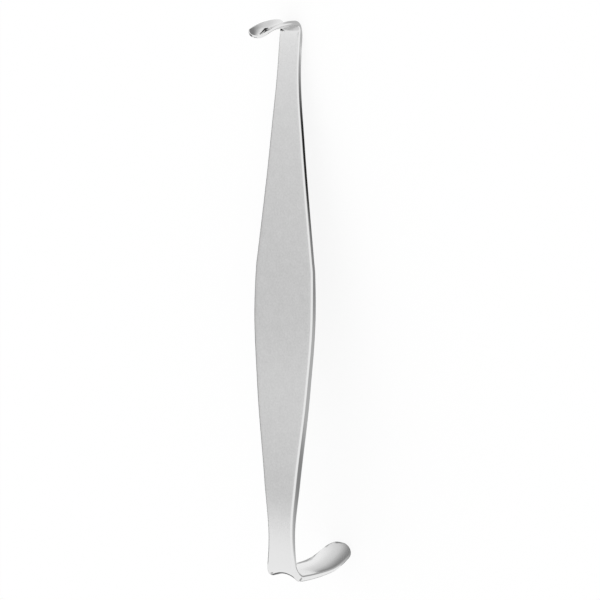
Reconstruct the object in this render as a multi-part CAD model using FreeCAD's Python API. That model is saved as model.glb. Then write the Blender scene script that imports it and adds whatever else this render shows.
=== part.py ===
# Double-ended hand retractor, bent from one strip of steel.
# Lengths are in millimetres and angles in degrees.
# The strip is described along its centre line, from the widest part of the handle out to each tip.
# It is built with the handle along X and its face up, then laid down on its large blade.
import math
import os

import FreeCAD
import Part

# Handle
handle_width = 24.8
handle_thickness = 2.5
shoulder_width = 24.1          # soft corner between the broad part and the straight flare
shoulder_distance = 14.2
flare_width = 23.2
flare_distance = 17.6

# Neck of the small end
small_straight = 64.2          # flat handle, from the widest part
small_neck_length = 26.2
small_neck_lean = 4.55          # the neck leans back before the bend
small_flare_width = 13.55
small_flare_distance = 55.6
small_flare_thickness = 2.15
small_neck_width = 8.85
small_neck_distance = 80.9
small_bend_width = 8.55
small_bend_thickness = 2

# Small blade
small_bend_radius = 2.7
small_bend_angle = 89.1
small_blade_length = 15.65
small_blade_turn = 30.2
small_root_width = 8.45
small_middle_width = 8.15
small_tip_width = 8.4
small_tip_length = 2.4
small_root_thickness = 1.65
small_dish_run_in = 7.6         # the trough starts this far before the bend
small_dish_at_bend = 0.0       # share of the trough that is there where the bend starts
small_root_dish = 5.1          # radius of the trough across the blade
small_tip_dish = 7.5

# Neck of the large end
large_straight = 66.2
large_neck_length = 19.25
large_neck_lean = 4.65
large_shoulder_width = 21.3
large_shoulder_distance = 25.3
large_flare_width = 13.5
large_flare_thickness = 3.25
large_flare_distance = 57.3
large_neck_width = 10.1
large_neck_distance = 75.2
large_bend_width = 11.5
large_bend_thickness = 2.15

# Large blade
large_bend_radius = 3.0
large_bend_angle = 79.6
large_blade_length = 29.5
large_root_turn = 6.9         # the half of the blade next to the bend is straighter
large_tip_turn = 34.1
large_root_width = 13.6
large_middle_width = 13.45
large_tip_width = 12.15
large_tip_length = 4.7
large_root_thickness = 2.4
large_dish_run_in = 12.7
large_dish_at_bend = 0.26
large_root_dish = 12.25
large_tip_dish = 14.75

# Both blades
tip_thickness = 0.95
rim_radius = 0.45              # rounding along every edge, in flats
rim_share = 0.4                # its largest share of the thickness
rim_flats = 3

# Stations of the sections
handle_pitch = 8.0
neck_pitch = 4.0
bend_step = 10.0               # degrees
blade_stations = 9
tip_stations = 7
end_cap = 0.03                 # the tip closes on a face this far from its end


def smooth_value(knots, at):
    """Value at a distance, on a smooth curve through the knots that never overshoots them."""
    if at <= knots[0][0]:
        return knots[0][1]
    if at >= knots[-1][0]:
        return knots[-1][1]
    gaps = [b[0] - a[0] for a, b in zip(knots, knots[1:])]
    slopes = [(b[1] - a[1]) / g for a, b, g in zip(knots, knots[1:], gaps)]
    tangents = [0.0]
    for left, right, gap_left, gap_right in zip(slopes, slopes[1:], gaps, gaps[1:]):
        if left * right <= 0:
            tangents.append(0.0)
        else:
            heavy = 2 * gap_right + gap_left
            light = gap_right + 2 * gap_left
            tangents.append((heavy + light) / (heavy / left + light / right))
    tangents.append(slopes[-1])
    i = max(n for n in range(len(gaps)) if knots[n][0] <= at)
    t = (at - knots[i][0]) / gaps[i]
    start = knots[i][1] * (1 + 2 * t) * (1 - t) ** 2 + tangents[i] * gaps[i] * t * (1 - t) ** 2
    finish = knots[i + 1][1] * t * t * (3 - 2 * t) - tangents[i + 1] * gaps[i] * t * t * (1 - t)
    return start + finish


class End:
    """One end of the strip: its runs, widths, thicknesses and trough, by distance from the middle."""

    def __init__(self, side, runs, widths, thicks, dishes, blade_start, tip_start, length):
        self.side = side        # 1 runs towards +X and bends up, -1 towards -X and bends down
        self.runs = runs
        self.widths = widths
        self.thicks = thicks
        self.dishes = dishes
        self.blade_start = blade_start
        self.tip_start = tip_start
        self.length = length

    def centre(self, at):
        """Point and heading of the centre line: a chain of straight runs and arcs."""
        x, z, heading, left = 0.0, 0.0, 0.0, at
        for length, turn in self.runs:
            part = min(left, length)
            angle = math.radians(turn) * part / length
            chord = part if abs(angle) < 1e-9 else part * math.sin(angle / 2) / (angle / 2)
            x += chord * math.cos(heading + angle / 2)
            z += chord * math.sin(heading + angle / 2)
            heading += angle
            left -= part
            if left <= 0:
                break
        return FreeCAD.Vector(self.side * x, 0, z), heading

    def half_width(self, at):
        """Half the width, closing in an ellipse at the tip."""
        half = smooth_value(self.widths, at) / 2
        if at > self.tip_start:
            share = (at - self.tip_start) / (self.length - self.tip_start)
            half *= math.sqrt(max(0.0, 1 - share * share))
        return half

    def half_thickness(self, at):
        """Half the thickness, rounded off at the very tip."""
        half = smooth_value(self.thicks, at) / 2
        to_end = self.length - at
        if to_end < tip_thickness / 2:
            half *= math.sqrt(max(0.0, 1 - (1 - 2 * to_end / tip_thickness) ** 2))
        return half

    def section(self, at):
        """Outline across the centre line, as poles: faces, and between them the rounded rims."""
        point, heading = self.centre(at)
        up = FreeCAD.Vector(-self.side * math.sin(heading), 0, math.cos(heading))
        across = FreeCAD.Vector(0, 1, 0)
        depth = self.half_thickness(at)
        half = self.half_width(at)
        rim = min(rim_radius, 2 * rim_share * depth, 0.6 * half)
        edge = half - rim
        bend = -self.side * smooth_value(self.dishes, at) / 2
        lift = bend * edge * edge
        scale = math.hypot(1, 2 * bend * edge)
        lean = 2 * bend * edge / scale

        def pole(hand, height, along):
            y = edge + along / scale - height * lean
            z = lift + along * lean + height / scale
            return point + across * (hand * y) + up * z

        def face(height, hand):
            start = pole(hand, height, 0)
            crown = point + up * (2 * height - lift - height / scale)
            return [start, crown, pole(-hand, height, 0)]

        def corner(n, layer):
            angle = math.pi / 2 * n / rim_flats
            return layer * (depth - rim + rim * math.cos(angle)), rim * math.sin(angle)

        turned = range(rim_flats + 1)
        profile = [corner(n, 1) for n in turned]
        profile += [corner(n, -1) for n in reversed(turned)]
        left = [pole(-1, height, along) for height, along in profile]
        right = [pole(1, height, along) for height, along in reversed(profile)]
        rows = [face(depth, 1)] + [list(pair) for pair in zip(left, left[1:])]
        rows += [face(-depth, -1)] + [list(pair) for pair in zip(right, right[1:])]
        return rows


def skin(rows, places):
    """A face over rows of poles: each row a curve across the strip, the rows smooth along it."""
    columns = [list(column) for column in zip(*rows)]
    degree = len(columns) - 1
    inner = [sum(places[n:n + 3]) / 3 for n in range(1, len(places) - 3)]
    knots = [places[0]] + inner + [places[-1]]
    surface = Part.BSplineSurface()
    surface.buildFromPolesMultsKnots(
        columns, [degree + 1, degree + 1], [4] + [1] * len(inner) + [4],
        [0, 1], knots, False, False, degree, 3)
    return surface.toShape()


def tip_face(section):
    """The small flat that closes the strip at a tip."""
    edges = []
    for poles in section:
        bezier = Part.BezierCurve()
        bezier.setPoles(poles)
        edges.append(bezier.toShape())
    return Part.Face(Part.Wire(edges))


def small_end():
    bend = math.radians(small_bend_angle) * small_bend_radius
    bend_start = small_straight + small_neck_length
    blade_start = bend_start + bend
    length = blade_start + small_blade_length
    tip_start = length - small_tip_length
    runs = [(small_straight, 0), (small_neck_length, -small_neck_lean),
            (bend, small_bend_angle), (small_blade_length, small_blade_turn)]
    widths = [(0, handle_width), (shoulder_distance, shoulder_width),
              (flare_distance, flare_width), (small_flare_distance, small_flare_width),
              (small_neck_distance, small_neck_width), (bend_start, small_bend_width),
              (blade_start, small_root_width), ((blade_start + tip_start) / 2, small_middle_width),
              (tip_start, small_tip_width)]
    thicks = [(0, handle_thickness), (flare_distance, small_flare_thickness),
              (bend_start, small_bend_thickness), (blade_start, small_root_thickness),
              (length, tip_thickness)]
    dishes = [(bend_start - small_dish_run_in, 0),
              (bend_start, small_dish_at_bend / small_root_dish),
              (blade_start, 1 / small_root_dish), (length, 1 / small_tip_dish)]
    return End(1, runs, widths, thicks, dishes, blade_start, tip_start, length)


def large_end():
    bend = math.radians(large_bend_angle) * large_bend_radius
    bend_start = large_straight + large_neck_length
    blade_start = bend_start + bend
    length = blade_start + large_blade_length
    tip_start = length - large_tip_length
    half_blade = large_blade_length / 2
    runs = [(large_straight, 0), (large_neck_length, -large_neck_lean),
            (bend, -large_bend_angle), (half_blade, -large_root_turn), (half_blade, -large_tip_turn)]
    widths = [(0, handle_width), (large_shoulder_distance, large_shoulder_width),
              (large_flare_distance, large_flare_width), (large_neck_distance, large_neck_width),
              (bend_start, large_bend_width), (blade_start, large_root_width),
              ((blade_start + tip_start) / 2, large_middle_width), (tip_start, large_tip_width)]
    thicks = [(0, handle_thickness), (large_flare_distance, large_flare_thickness),
              (bend_start, large_bend_thickness), (blade_start, large_root_thickness),
              (length, tip_thickness)]
    dishes = [(bend_start - large_dish_run_in, 0),
              (bend_start, large_dish_at_bend / large_root_dish),
              (blade_start, 1 / large_root_dish), (length, 1 / large_tip_dish)]
    return End(-1, runs, widths, thicks, dishes, blade_start, tip_start, length)


def spread(start, finish, count):
    return [start + (finish - start) * n / count for n in range(1, count + 1)]


def stations(end):
    """Places of the sections from the middle to the tip, closer where the form turns."""
    straight, neck = end.runs[0][0], end.runs[1][0]
    bend_start = straight + neck
    places = spread(0, straight, round(straight / handle_pitch))
    places += spread(straight, bend_start, round(neck / neck_pitch))
    places += spread(bend_start, end.blade_start, round(abs(end.runs[2][1]) / bend_step))
    places += spread(end.blade_start, end.tip_start, blade_stations)
    tip = end.length - end.tip_start
    places += [end.tip_start + tip * math.sin(math.pi / 2 * n / tip_stations)
               for n in range(1, tip_stations)]
    places.append(end.length - end_cap)
    return places


def lower_edge(solid):
    """The line that the strip rests on, seen from the side: it spans the centre of mass."""
    points = sorted({(round(v.x, 4), round(v.z, 4)) for v in solid.tessellate(0.02)[0]})
    hull = []
    for point in points:
        while len(hull) > 1:
            (ax, az), (bx, bz) = hull[-2], hull[-1]
            if (bx - ax) * (point[1] - az) - (bz - az) * (point[0] - ax) > 0:
                break
            hull.pop()
        hull.append(point)
    middle = solid.CenterOfMass.x
    for start, finish in zip(hull, hull[1:]):
        if start[0] <= middle <= finish[0]:
            return start, finish
    raise ValueError("the centre of mass lies outside the strip")


def lay_down(solid):
    """Turn the strip about Y until both supports touch the table, then centre it on the origin."""
    (ax, az), (bx, bz) = lower_edge(solid)
    angle = math.degrees(math.atan2(bz - az, bx - ax))
    solid.rotate(FreeCAD.Vector(0, 0, 0), FreeCAD.Vector(0, 1, 0), angle)
    box = solid.optimalBoundingBox(False)
    solid.translate(FreeCAD.Vector(-box.Center.x, -box.Center.y, -box.ZMin))
    return angle


def build():
    """Skin the strip from the large tip, along the handle, to the small tip."""
    small = small_end()
    large = large_end()
    large_places = stations(large)[::-1]
    small_places = stations(small)
    sections = [large.section(at) for at in large_places]
    sections.append(small.section(0))
    sections += [small.section(at) for at in small_places]
    places = [-at for at in large_places] + [0] + small_places
    faces = [skin(rows, places) for rows in zip(*sections)]
    shell = Part.Shell(faces + [tip_face(sections[0]), tip_face(sections[-1])])
    shell.sewShape()
    solid = Part.Solid(shell)
    if solid.Volume < 0:
        solid.reverse()
    return solid


os.makedirs("parts", exist_ok=True)
retractor = build()
lay_down(retractor)
retractor.exportStep("parts/retractor.step")
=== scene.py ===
import bmesh
import bpy
import math
from mathutils import Matrix, Vector


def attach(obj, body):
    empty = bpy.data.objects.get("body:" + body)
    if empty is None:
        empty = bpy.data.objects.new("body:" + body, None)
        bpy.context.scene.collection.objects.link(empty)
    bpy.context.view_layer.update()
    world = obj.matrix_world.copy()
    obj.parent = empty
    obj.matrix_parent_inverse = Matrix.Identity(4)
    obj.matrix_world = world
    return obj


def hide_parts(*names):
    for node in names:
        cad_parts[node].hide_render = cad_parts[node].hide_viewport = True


MM = 0.001

# Handle
handle_width = 24.8
handle_thickness = 2.5
shoulder_width = 24.1
shoulder_distance = 14.2
flare_width = 23.2
flare_distance = 17.6

# Neck of the small end
small_straight = 64.2
small_neck_length = 26.2
small_neck_lean = 4.55
small_flare_width = 13.55
small_flare_distance = 55.6
small_flare_thickness = 2.15
small_neck_width = 8.85
small_neck_distance = 80.9
small_bend_width = 8.55
small_bend_thickness = 2

# Small blade
small_bend_radius = 2.7
small_bend_angle = 89.1
small_blade_length = 15.65
small_blade_turn = 30.2
small_root_width = 8.45
small_middle_width = 8.15
small_tip_width = 8.4
small_tip_length = 2.4
small_root_thickness = 1.65
small_dish_run_in = 7.6
small_dish_at_bend = 0.0
small_root_dish = 5.1
small_tip_dish = 7.5

# Neck of the large end
large_straight = 66.2
large_neck_length = 19.25
large_neck_lean = 4.65
large_shoulder_width = 21.3
large_shoulder_distance = 25.3
large_flare_width = 13.5
large_flare_thickness = 3.25
large_flare_distance = 57.3
large_neck_width = 10.1
large_neck_distance = 75.2
large_bend_width = 11.5
large_bend_thickness = 2.15

# Large blade
large_bend_radius = 3.0
large_bend_angle = 79.6
large_blade_length = 29.5
large_root_turn = 6.9
large_tip_turn = 34.1
large_root_width = 13.6
large_middle_width = 13.45
large_tip_width = 12.15
large_tip_length = 4.7
large_root_thickness = 2.4
large_dish_run_in = 12.7
large_dish_at_bend = 0.26
large_root_dish = 12.25
large_tip_dish = 14.75

# Tips and rims; the dressed rims are a little rounder than the solid's
tip_thickness = 0.95
rim_radius = 0.65
rim_share = 0.4
rim_width_share = 0.6

# Rest pose of the strip, lying on its large tip and its small bend
rest_angle = 9.6741
rest_shift = Vector((-1.0102, 0.0, 17.4470))

# Fineness of the mesh
handle_pitch = 1.6
neck_pitch = 0.9
bend_step = 4.0
blade_pitch = 0.45
tip_rings = 14
face_steps = 20
corner_steps = 5
wall_steps = 2
end_cap = 0.02

# Steel: from satin on the handle to polished on the rims and blades. The step from the darker
# satin tone to the lighter polished tone is partly painted light: a painted highlight on the rims,
# and painted light and shade along the handle and necks
satin_tone = 0.60
satin_roughness = 0.40
satin_bump = 0.35
polished_tone = 0.80
polished_roughness = 0.11
polished_bump = 0.03
bump_depth = 0.02
# The rims take the polished tone as well as the gloss: their lighter tone is a painted highlight
# along the edges
rim_polish_and_highlight_from = 0.1
rim_polish_and_highlight_full = 0.3

# Bead-blasted grain of the satin, with the noise's scale per metre
grain_scale = 1500.0
grain_amount = 0.42
coarse_grain_size = 0.18
coarse_grain_share = 0.2

# Share of polish by distance: from the middle, before each bend, and the satin crook of the small
# bend, after the bend's start and after the blade's start. Besides the finish, these shares set
# the
# tone: their rises and dips along the handle and necks are painted light and shade
large_handle_polish_and_painted_light = ((0, 0.02), (26, 0.17), (46, 0.08))
large_neck_polish_and_painted_light = ((26, 0), (6, 0.86))
small_neck_polish_and_painted_light = ((80, 0.02), (59, 0.08), (40, 0.16), (4, 0.55))
# The crook is painted shade inside the small bend: it cuts back the polish share and so darkens
# the tone
crook_in = ((1.8, 0), (2.6, 1))
crook_out = ((1.5, 1), (5, 0))

# Camera, in millimetres
camera_place = Vector((306.075, -622.095, 719.149))
camera_forward = Vector((-0.308060, 0.627098, -0.715435))
camera_up = Vector((0.946921, 0.129490, -0.294234))
camera_lens = 181.476
camera_film = 36.0
camera_near = 50
camera_far = 20000

# The dressed strip is drawn this little smaller and higher, so that it stays within the solid
dressed_scale = Vector((0.99935, 0.995, 0.9984))
dressed_lift = Vector((0.0, 0.0, 0.02))

# Studio floor, with the share of plain white in what the camera and the metal see of it
floor_reach = 3000
floor_drop = 0.2
floor_whiteness = 0.84
world_strength = 1.0

# Painted reflections of shade: grey and black cards on the floor, seen only in the strip's metal,
# one
# above the other by the gap: place, width and depth, fade of the ends and of the sides, and tone
card_gap = 0.05
floor_shade_reflections = (
    (-6, -26, 188, 48, 10, 8, 0.50),
    (10, -26, 60, 26, 24, 6, 0.30),
    (48, -13, 84, 24, 34, 5, 0.02),
    (-74, -27, 46, 26, 20, 6, 0.28),
    (-10, -10, 60, 16, 20, 4, 0.20),
    (-91, 1, 24, 22, 1.5, 10, 0.74),
    (-90, -4.7, 22, 17, 1.5, 8, 0.28),
    (-96, 18, 12, 9, 3, 3, 0.40),
    (-96.3, 12, 9.6, 6.4, 0.8, 1.2, 0.32),
    (-93.6, 6, 10, 7, 1, 1.5, 0.25),
    (-92.3, 1.5, 10, 5, 1, 1.5, 0.25),
    (-118.5, 9, 39, 24, 3, 1.5, 0.08),
    (-215, -80, 150, 130, 20, 20, 0.45),
    (92, -3.5, 20, 13, 4, 2.5, 0.56),
    (105, 5, 26, 14, 8, 4, 0.76),
    (131, 12, 60, 60, 20, 20, 0.24),
    (99.0, 15.2, 6.6, 9.8, 0.4, 0.4, 0.0),
    (-100, 88, 230, 124, 30, 6, 0.10),
)
# Painted reflections of shade: cards standing round the strip, seen only in its metal: place and
# turn, width and height, fades and tone
standing_shade_reflections = (
    (-125, 900, 0, 550, 1280, 60, 80, 0.02),
    (-300, 67, 90, 36, 130, 8, 20, 0.30),
)


def smooth_value(knots, at):
    """Value at a distance, on a smooth curve through the knots that never overshoots them."""
    if at <= knots[0][0]:
        return knots[0][1]
    if at >= knots[-1][0]:
        return knots[-1][1]
    gaps = [b[0] - a[0] for a, b in zip(knots, knots[1:])]
    slopes = [(b[1] - a[1]) / g for a, b, g in zip(knots, knots[1:], gaps)]
    tangents = [0.0]
    for left, right, gap_left, gap_right in zip(slopes, slopes[1:], gaps, gaps[1:]):
        if left * right <= 0:
            tangents.append(0.0)
        else:
            heavy = 2 * gap_right + gap_left
            light = gap_right + 2 * gap_left
            tangents.append((heavy + light) / (heavy / left + light / right))
    tangents.append(slopes[-1])
    i = max(n for n in range(len(gaps)) if knots[n][0] <= at)
    t = (at - knots[i][0]) / gaps[i]
    start = knots[i][1] * (1 + 2 * t) * (1 - t) ** 2 + tangents[i] * gaps[i] * t * (1 - t) ** 2
    finish = knots[i + 1][1] * t * t * (3 - 2 * t) - tangents[i + 1] * gaps[i] * t * t * (1 - t)
    return start + finish


class End:
    """One end of the strip: runs, widths, thicknesses and trough, by distance from the middle."""

    def __init__(self, side, runs, widths, thicks, dishes, blade_start, tip_start, length):
        self.side = side
        self.runs = runs
        self.widths = widths
        self.thicks = thicks
        self.dishes = dishes
        self.bend_start = runs[0][0] + runs[1][0]
        self.blade_start = blade_start
        self.tip_start = tip_start
        self.length = length

    def centre(self, at):
        x, z, heading, left = 0.0, 0.0, 0.0, at
        for length, turn in self.runs:
            part = min(left, length)
            angle = math.radians(turn) * part / length
            chord = part if abs(angle) < 1e-9 else part * math.sin(angle / 2) / (angle / 2)
            x += chord * math.cos(heading + angle / 2)
            z += chord * math.sin(heading + angle / 2)
            heading += angle
            left -= part
            if left <= 0:
                break
        return Vector((self.side * x, 0, z)), heading

    def half_width(self, at):
        half = smooth_value(self.widths, at) / 2
        if at > self.tip_start:
            share = (at - self.tip_start) / (self.length - self.tip_start)
            half *= math.sqrt(max(0.0, 1 - share * share))
        return half

    def half_thickness(self, at):
        half = smooth_value(self.thicks, at) / 2
        to_end = self.length - at
        if to_end < tip_thickness / 2:
            half *= math.sqrt(max(0.0, 1 - (1 - 2 * to_end / tip_thickness) ** 2))
        return half

    def section(self, at):
        """Points round the strip, with how far each is out on the rim, from 0 on a face to 1."""
        point, heading = self.centre(at)
        up = Vector((-self.side * math.sin(heading), 0, math.cos(heading)))
        depth = self.half_thickness(at)
        half = self.half_width(at)
        rim = min(rim_radius, 2 * rim_share * depth, rim_width_share * half)
        edge = half - rim
        bend = -self.side * smooth_value(self.dishes, at) / 2
        lift = bend * edge * edge
        scale = math.hypot(1, 2 * bend * edge)
        lean = 2 * bend * edge / scale

        def place(hand, height, along):
            y = edge + along / scale - height * lean
            z = lift + along * lean + height / scale
            return point + Vector((0, hand * y, 0)) + up * z

        def face(height, hand):
            y_end = edge - height * lean
            z_end = lift + height / scale
            spots = []
            for n in range(face_steps + 1):
                share = 1 - 2 * n / face_steps
                z = height + (z_end - height) * share * share
                spots.append((point + Vector((0, hand * y_end * share, 0)) + up * z, 0.0))
            return spots

        def wall(hand, layer):
            spots = []
            for n in range(1, corner_steps + 1):
                angle = math.pi / 2 * n / corner_steps
                height = layer * (depth - rim + rim * math.cos(angle))
                spots.append((place(hand, height, rim * math.sin(angle)), n / corner_steps))
            for n in range(1, wall_steps):
                height = layer * (depth - rim) * (1 - 2 * n / wall_steps)
                spots.append((place(hand, height, rim), 1.0))
            for n in range(corner_steps):
                angle = math.pi / 2 * (1 - n / corner_steps)
                height = -layer * (depth - rim + rim * math.cos(angle))
                spots.append((place(hand, height, rim * math.sin(angle)), 1 - n / corner_steps))
            return spots

        return face(depth, 1) + wall(-1, 1) + face(-depth, -1) + wall(1, -1)


def small_end():
    bend = math.radians(small_bend_angle) * small_bend_radius
    bend_start = small_straight + small_neck_length
    blade_start = bend_start + bend
    length = blade_start + small_blade_length
    tip_start = length - small_tip_length
    runs = [(small_straight, 0), (small_neck_length, -small_neck_lean),
            (bend, small_bend_angle), (small_blade_length, small_blade_turn)]
    widths = [(0, handle_width), (shoulder_distance, shoulder_width),
              (flare_distance, flare_width), (small_flare_distance, small_flare_width),
              (small_neck_distance, small_neck_width), (bend_start, small_bend_width),
              (blade_start, small_root_width), ((blade_start + tip_start) / 2, small_middle_width),
              (tip_start, small_tip_width)]
    thicks = [(0, handle_thickness), (flare_distance, small_flare_thickness),
              (bend_start, small_bend_thickness), (blade_start, small_root_thickness),
              (length, tip_thickness)]
    dishes = [(bend_start - small_dish_run_in, 0),
              (bend_start, small_dish_at_bend / small_root_dish),
              (blade_start, 1 / small_root_dish), (length, 1 / small_tip_dish)]
    return End(1, runs, widths, thicks, dishes, blade_start, tip_start, length)


def large_end():
    bend = math.radians(large_bend_angle) * large_bend_radius
    bend_start = large_straight + large_neck_length
    blade_start = bend_start + bend
    length = blade_start + large_blade_length
    tip_start = length - large_tip_length
    half_blade = large_blade_length / 2
    runs = [(large_straight, 0), (large_neck_length, -large_neck_lean),
            (bend, -large_bend_angle), (half_blade, -large_root_turn),
            (half_blade, -large_tip_turn)]
    widths = [(0, handle_width), (large_shoulder_distance, large_shoulder_width),
              (large_flare_distance, large_flare_width), (large_neck_distance, large_neck_width),
              (bend_start, large_bend_width), (blade_start, large_root_width),
              ((blade_start + tip_start) / 2, large_middle_width), (tip_start, large_tip_width)]
    thicks = [(0, handle_thickness), (large_flare_distance, large_flare_thickness),
              (bend_start, large_bend_thickness), (blade_start, large_root_thickness),
              (length, tip_thickness)]
    dishes = [(bend_start - large_dish_run_in, 0),
              (bend_start, large_dish_at_bend / large_root_dish),
              (blade_start, 1 / large_root_dish), (length, 1 / large_tip_dish)]
    return End(-1, runs, widths, thicks, dishes, blade_start, tip_start, length)


def spread(start, finish, count):
    return [start + (finish - start) * n / count for n in range(1, count + 1)]


def stations(end):
    """Places of the rings from the middle to the tip, closer where the form turns."""
    straight = end.runs[0][0]
    places = spread(0, straight, round(straight / handle_pitch))
    places += spread(straight, end.bend_start, round(end.runs[1][0] / neck_pitch))
    places += spread(end.bend_start, end.blade_start, round(abs(end.runs[2][1]) / bend_step))
    places += spread(end.blade_start, end.tip_start,
                     round((end.tip_start - end.blade_start) / blade_pitch))
    tip = end.length - end.tip_start
    places += [end.tip_start + tip * math.sin(math.pi / 2 * n / tip_rings)
               for n in range(1, tip_rings)]
    places.append(end.length - end_cap)
    return places


def laid(point):
    """A point of the straight strip, in its rest pose, in metres."""
    turn = Matrix.Rotation(math.radians(rest_angle), 3, "Y")
    place = turn @ point + rest_shift
    return (place * dressed_scale + dressed_lift) * MM


def move_ring(ring, end, at, layers):
    """Put a ring of vertices on the strip's section at a distance, with its masks."""
    along, rim, polish_and_painted_light = layers
    signed = end.side * at
    # The small bend's crook paints shade inside the bend: it cuts back the polish share and so
    # darkens the tone
    crook = crook_at(end, at)
    for n, (vert, (point, out)) in enumerate(zip(ring, end.section(at))):
        vert.co = laid(point)
        vert[along] = signed * MM
        vert[rim] = out
        # The polish share carries the finish and also painted light and shade along the strip
        vert[polish_and_painted_light] = polish_and_painted_light_at(end, at) * (1 - crook * (n <= face_steps))


def polish_and_painted_light_at(end, at):
    """0 on the satin handle, rising over the neck to 1 on the polished blade. As it also sets the
    tone, its rises and dips along the handle and necks are painted light and shade.
    """
    if end.side < 0:
        knots = list(large_handle_polish_and_painted_light)
        knots += [(end.bend_start - before, share) for before, share in large_neck_polish_and_painted_light]
    else:
        knots = [(end.bend_start - before, share) for before, share in small_neck_polish_and_painted_light]
    return smooth_value(knots + [(end.blade_start, 1)], at)


def crook_at(end, at):
    """1 where the inside of the small bend is left satin and darker: painted shade in the crease
    of the bend.
    """
    if end.side < 0:
        return 0.0
    knots = [(end.bend_start + after, share) for after, share in crook_in]
    knots += [(end.blade_start + after, share) for after, share in crook_out]
    return smooth_value(knots, at)


def draw_out(bm, ring):
    """Extrude a ring of edges by one step and return the new ring in the same order."""
    edges = [bm.edges.get((a, b)) for a, b in zip(ring, ring[1:] + ring[:1])]
    drawn = bmesh.ops.extrude_edge_only(bm, edges=edges)["geom"]
    fresh = {v for v in drawn if isinstance(v, bmesh.types.BMVert)}
    following = []
    for vert in ring:
        following.append(next(e.other_vert(vert) for e in vert.link_edges
                              if e.other_vert(vert) in fresh))
    return following


def strip_mesh():
    """The whole strip: one ring, extruded station by station from large tip to small tip."""
    small, large = small_end(), large_end()
    stops = [(large, at) for at in stations(large)[::-1]] + [(small, 0.0)]
    stops += [(small, at) for at in stations(small)]
    bm = bmesh.new()
    layers = [bm.verts.layers.float.new(name) for name in ("along", "rim", "polish_and_painted_light")]
    around = len(small.section(0))
    made = bmesh.ops.create_circle(bm, segments=around, radius=0.01, cap_ends=True)
    ring = made["verts"]
    move_ring(ring, *stops[0], layers)
    for end, at in stops[1:]:
        ring = draw_out(bm, ring)
        move_ring(ring, end, at, layers)
    bmesh.ops.contextual_create(bm, geom=ring)
    bmesh.ops.recalc_face_normals(bm, faces=bm.faces)
    for face in bm.faces:
        face.smooth = True
    mesh = bpy.data.meshes.new("retractor_strip")
    bm.to_mesh(mesh)
    bm.free()
    return mesh


def link(tree, source, target):
    tree.links.new(source, target)


def fine_grain_group():
    """Bead-blasted grain: fine mottling of the tone, and a height for a bump."""
    tree = bpy.data.node_groups.new("fine grain", "ShaderNodeTree")
    tree.interface.new_socket("Scale", in_out="INPUT", socket_type="NodeSocketFloat")
    tree.interface.new_socket("Amount", in_out="INPUT", socket_type="NodeSocketFloat")
    tree.interface.new_socket("Tone", in_out="OUTPUT", socket_type="NodeSocketFloat")
    tree.interface.new_socket("Height", in_out="OUTPUT", socket_type="NodeSocketFloat")
    nodes = tree.nodes
    given, out = nodes.new("NodeGroupInput"), nodes.new("NodeGroupOutput")
    place = nodes.new("ShaderNodeTexCoord")
    fine = nodes.new("ShaderNodeTexNoise")
    fine.inputs["Detail"].default_value = 3.0
    fine.inputs["Roughness"].default_value = 0.6
    coarse_scale = nodes.new("ShaderNodeMath")
    coarse_scale.operation = "MULTIPLY"
    coarse_scale.inputs[1].default_value = coarse_grain_size
    coarse = nodes.new("ShaderNodeTexNoise")
    coarse.inputs["Detail"].default_value = 2.0
    link(tree, place.outputs["Object"], fine.inputs["Vector"])
    link(tree, place.outputs["Object"], coarse.inputs["Vector"])
    link(tree, given.outputs["Scale"], fine.inputs["Scale"])
    link(tree, given.outputs["Scale"], coarse_scale.inputs[0])
    link(tree, coarse_scale.outputs[0], coarse.inputs["Scale"])
    both = nodes.new("ShaderNodeMix")
    both.inputs["Factor"].default_value = coarse_grain_share
    link(tree, fine.outputs["Fac"], both.inputs["A"])
    link(tree, coarse.outputs["Fac"], both.inputs["B"])
    centred = nodes.new("ShaderNodeMath")
    centred.operation = "SUBTRACT"
    centred.inputs[1].default_value = 0.5
    link(tree, both.outputs["Result"], centred.inputs[0])
    tone = nodes.new("ShaderNodeMath")
    tone.operation = "MULTIPLY_ADD"
    tone.inputs[2].default_value = 1.0
    link(tree, centred.outputs[0], tone.inputs[0])
    link(tree, given.outputs["Amount"], tone.inputs[1])
    link(tree, tone.outputs[0], out.inputs["Tone"])
    link(tree, fine.outputs["Fac"], out.inputs["Height"])
    return tree


def mask(nodes, name):
    node = nodes.new("ShaderNodeAttribute")
    node.attribute_name = name
    return node.outputs["Fac"]


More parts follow.
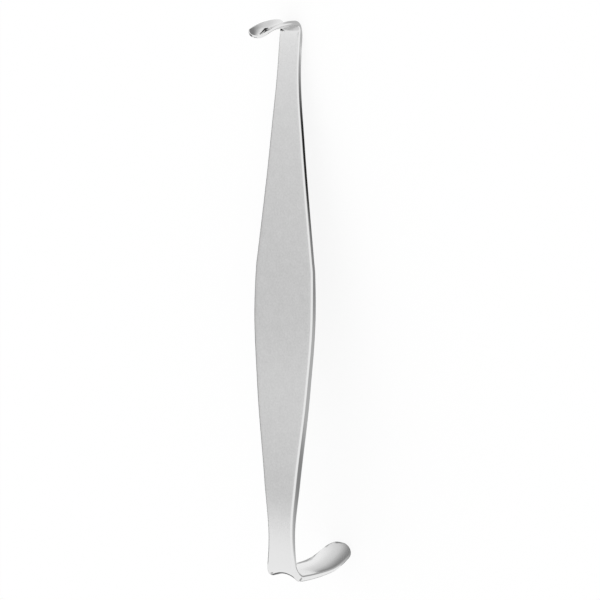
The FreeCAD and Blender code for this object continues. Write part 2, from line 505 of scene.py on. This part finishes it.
def steel_material(grain):
    """Satin handle faces that run into polished necks and blades, with polished rims. The polish
    share also sets the tone, so the lighter rims are a painted highlight and the tone along the
    handle and necks is partly painted light and shade.
    """
    material = bpy.data.materials.new("retractor_steel")
    material.use_nodes = True
    tree = material.node_tree
    nodes = tree.nodes
    shader = nodes["Principled BSDF"]
    shader.inputs["Metallic"].default_value = 1.0
    polish_and_painted_light, rim = mask(nodes, "polish_and_painted_light"), mask(nodes, "rim")
    bright = nodes.new("ShaderNodeMath")
    bright.operation = "MAXIMUM"
    link(tree, polish_and_painted_light, bright.inputs[0])
    edge = nodes.new("ShaderNodeMapRange")
    edge.inputs["From Min"].default_value = rim_polish_and_highlight_from
    edge.inputs["From Max"].default_value = rim_polish_and_highlight_full
    link(tree, rim, edge.inputs["Value"])
    link(tree, edge.outputs["Result"], bright.inputs[1])
    # Tone from satin to polished: on the rims a painted highlight, along the strip partly painted
    # light and shade
    colour = nodes.new("ShaderNodeMix")
    colour.data_type = "RGBA"
    colour.inputs["A"].default_value = (satin_tone, satin_tone, satin_tone, 1)
    colour.inputs["B"].default_value = (polished_tone, polished_tone, polished_tone, 1)
    link(tree, bright.outputs[0], colour.inputs["Factor"])
    grained = nodes.new("ShaderNodeGroup")
    grained.node_tree = grain
    grained.inputs["Scale"].default_value = grain_scale
    grained.inputs["Amount"].default_value = grain_amount
    toned = nodes.new("ShaderNodeMix")
    toned.data_type = "RGBA"
    toned.blend_type = "MULTIPLY"
    toned.inputs["Factor"].default_value = 1.0
    link(tree, colour.outputs["Result"], toned.inputs["A"])
    tone = nodes.new("ShaderNodeMix")
    link(tree, bright.outputs[0], tone.inputs["Factor"])
    link(tree, grained.outputs["Tone"], tone.inputs["A"])
    tone.inputs["B"].default_value = 1.0
    link(tree, tone.outputs["Result"], toned.inputs["B"])
    link(tree, toned.outputs["Result"], shader.inputs["Base Color"])
    rough = nodes.new("ShaderNodeMapRange")
    rough.inputs["To Min"].default_value = satin_roughness
    rough.inputs["To Max"].default_value = polished_roughness
    link(tree, bright.outputs[0], rough.inputs["Value"])
    link(tree, rough.outputs["Result"], shader.inputs["Roughness"])
    bump = nodes.new("ShaderNodeBump")
    bump.inputs["Distance"].default_value = bump_depth * MM
    strength = nodes.new("ShaderNodeMapRange")
    strength.inputs["To Min"].default_value = satin_bump
    strength.inputs["To Max"].default_value = polished_bump
    link(tree, bright.outputs[0], strength.inputs["Value"])
    link(tree, strength.outputs["Result"], bump.inputs["Strength"])
    link(tree, grained.outputs["Height"], bump.inputs["Height"])
    link(tree, bump.outputs["Normal"], shader.inputs["Normal"])
    return material


def put_in_scene(name, mesh):
    piece = bpy.data.objects.new(name, mesh)
    bpy.context.scene.collection.objects.link(piece)
    return piece


def studio_floor():
    """Pale floor: near white to the camera and in the metal, with the strip's soft shadow."""
    bm = bmesh.new()
    bmesh.ops.create_grid(bm, x_segments=2, y_segments=2, size=floor_reach * MM)
    mesh = bpy.data.meshes.new("floor")
    bm.to_mesh(mesh)
    bm.free()
    floor = put_in_scene("floor", mesh)
    floor.location.z = -floor_drop * MM
    material = bpy.data.materials.new("pale_floor")
    material.use_nodes = True
    tree = material.node_tree
    shader = tree.nodes["Principled BSDF"]
    shader.inputs["Base Color"].default_value = (1.0, 1.0, 1.0, 1)
    shader.inputs["Roughness"].default_value = 1.0
    shader.inputs["Specular IOR Level"].default_value = 0.0
    white = tree.nodes.new("ShaderNodeEmission")
    path = tree.nodes.new("ShaderNodeLightPath")
    seen = path.outputs["Is Camera Ray"]
    for ray in ("Is Glossy Ray", "Is Transmission Ray"):
        either = tree.nodes.new("ShaderNodeMath")
        either.operation = "MAXIMUM"
        link(tree, seen, either.inputs[0])
        link(tree, path.outputs[ray], either.inputs[1])
        seen = either.outputs[0]
    share = tree.nodes.new("ShaderNodeMath")
    share.operation = "MULTIPLY"
    share.inputs[1].default_value = floor_whiteness
    link(tree, seen, share.inputs[0])
    mix = tree.nodes.new("ShaderNodeMixShader")
    link(tree, share.outputs[0], mix.inputs["Fac"])
    link(tree, shader.outputs[0], mix.inputs[1])
    link(tree, white.outputs[0], mix.inputs[2])
    link(tree, mix.outputs[0], tree.nodes["Material Output"].inputs["Surface"])
    floor.data.materials.append(material)


def shade_reflection_material(name, width, height, ends, sides, tone):
    """A plain tone that fades out towards the card's ends and sides: a painted reflection of
    shade.
    """
    material = bpy.data.materials.new(name)
    material.use_nodes = True
    tree = material.node_tree
    tree.nodes.clear()
    out = tree.nodes.new("ShaderNodeOutputMaterial")
    place = tree.nodes.new("ShaderNodeTexCoord")
    split = tree.nodes.new("ShaderNodeSeparateXYZ")
    link(tree, place.outputs["Object"], split.inputs[0])
    both = tree.nodes.new("ShaderNodeMath")
    both.operation = "MULTIPLY"
    for n, (axis, size, fade) in enumerate((("X", width, ends), ("Y", height, sides))):
        reach = tree.nodes.new("ShaderNodeMath")
        reach.operation = "ABSOLUTE"
        link(tree, split.outputs[axis], reach.inputs[0])
        fall = tree.nodes.new("ShaderNodeMapRange")
        fall.interpolation_type = "SMOOTHSTEP"
        fall.inputs["From Min"].default_value = (size / 2 - fade) * MM
        fall.inputs["From Max"].default_value = size / 2 * MM
        fall.inputs["To Min"].default_value = 1.0
        fall.inputs["To Max"].default_value = 0.0
        link(tree, reach.outputs[0], fall.inputs["Value"])
        link(tree, fall.outputs["Result"], both.inputs[n])
    glow = tree.nodes.new("ShaderNodeEmission")
    glow.inputs["Color"].default_value = (tone, tone, tone, 1)
    clear = tree.nodes.new("ShaderNodeBsdfTransparent")
    mix = tree.nodes.new("ShaderNodeMixShader")
    link(tree, both.outputs[0], mix.inputs["Fac"])
    link(tree, clear.outputs[0], mix.inputs[1])
    link(tree, glow.outputs[0], mix.inputs[2])
    link(tree, mix.outputs[0], out.inputs["Surface"])
    return material


def shade_reflection_card(name, x, y, z, turn, width, height, ends, sides, tone):
    """A card that is seen only in the strip's reflections, as a painted reflection of shade."""
    bm = bmesh.new()
    bmesh.ops.create_grid(bm, x_segments=1, y_segments=1, size=0.5)
    bmesh.ops.scale(bm, vec=(width * MM, height * MM, 1), verts=bm.verts)
    mesh = bpy.data.meshes.new(name)
    bm.to_mesh(mesh)
    bm.free()
    card = put_in_scene(name, mesh)
    card.location = Vector((x, y, z)) * MM
    card.rotation_euler = turn
    card.visible_camera = False
    card.visible_diffuse = False
    card.visible_shadow = False
    card.visible_transmission = False
    card.data.materials.append(shade_reflection_material(name, width, height, ends, sides, tone))


def shade_reflection_cards():
    """Grey and black cards round the strip, painted reflections of shade: they shade its polished
    walls and blades.
    """
    for n, (x, y, *shape) in enumerate(floor_shade_reflections):
        shade_reflection_card("floor_card_%d" % n, x, y, card_gap * (n + 1), (0, 0, 0), *shape)
    for n, (x, y, turn, *shape) in enumerate(standing_shade_reflections):
        stood = (math.radians(90), 0, math.radians(turn))
        shade_reflection_card("standing_card_%d" % n, x, y, 0, stood, *shape)


def studio_light():
    """Even white light from all round."""
    world = bpy.data.worlds.new("studio")
    bpy.context.scene.world = world
    world.use_nodes = True
    world.node_tree.nodes["Background"].inputs["Color"].default_value = (1, 1, 1, 1)
    world.node_tree.nodes["Background"].inputs["Strength"].default_value = world_strength


def studio_camera():
    data = bpy.data.cameras.new("camera")
    data.lens = camera_lens
    data.sensor_width = camera_film
    data.clip_start = camera_near * MM
    data.clip_end = camera_far * MM
    camera = bpy.data.objects.new("camera", data)
    bpy.context.scene.collection.objects.link(camera)
    back = -camera_forward.normalized()
    right = camera_up.cross(back).normalized()
    up = back.cross(right)
    turn = Matrix((right, up, back)).transposed()
    camera.matrix_world = Matrix.Translation(camera_place * MM) @ turn.to_4x4()
    bpy.context.scene.camera = camera


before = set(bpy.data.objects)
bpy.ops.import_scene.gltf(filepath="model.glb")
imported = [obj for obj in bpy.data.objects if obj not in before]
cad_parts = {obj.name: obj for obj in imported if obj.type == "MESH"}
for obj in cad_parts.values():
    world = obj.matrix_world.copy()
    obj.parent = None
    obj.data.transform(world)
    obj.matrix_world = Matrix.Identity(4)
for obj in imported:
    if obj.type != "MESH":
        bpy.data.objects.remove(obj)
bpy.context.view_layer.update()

strip = put_in_scene("retractor_strip", strip_mesh())
strip.data.materials.append(steel_material(fine_grain_group()))
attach(strip, "root")
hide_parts("retractor")

studio_floor()
shade_reflection_cards()
studio_light()
studio_camera()
bpy.context.scene.view_settings.view_transform = "Standard"
